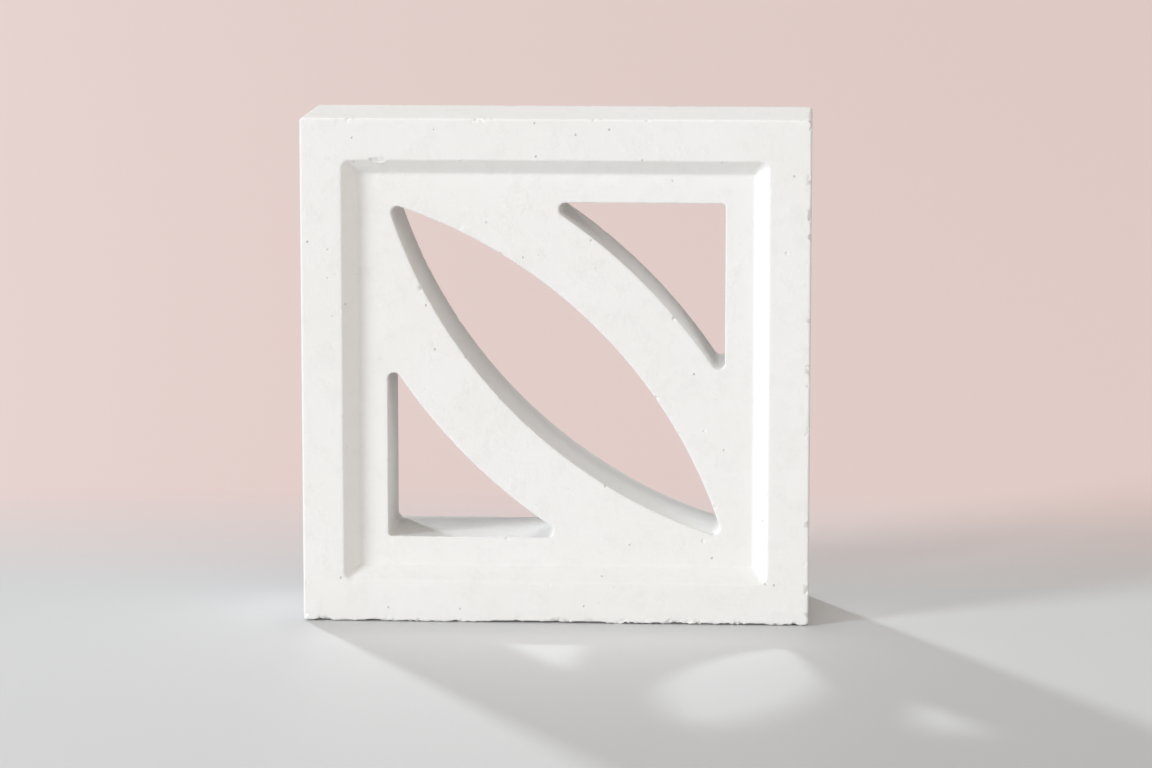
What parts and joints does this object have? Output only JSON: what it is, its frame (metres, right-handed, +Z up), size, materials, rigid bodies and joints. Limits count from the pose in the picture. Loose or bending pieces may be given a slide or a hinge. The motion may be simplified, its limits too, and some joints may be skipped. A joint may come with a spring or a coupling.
{
  "type": "concrete screen block",
  "caption": "Square white concrete screen block with a bevelled recess on each face, a leaf-shaped opening on its diagonal and curved ribs between it and the corner openings.",
  "frame": {"origin": "middle of the underside, between the front and back faces", "axes": "+Z up, +X to the right as seen from the front, +Y from the front face to the back face"},
  "size_m": [0.29, 0.09, 0.29],
  "materials": {
    "concrete": "fair-faced white cement concrete, matt, with fine pores and slightly worn arrises"
  },
  "bodies": {
    "root": {"screen_block": "concrete"}
  },
  "joints": []
}
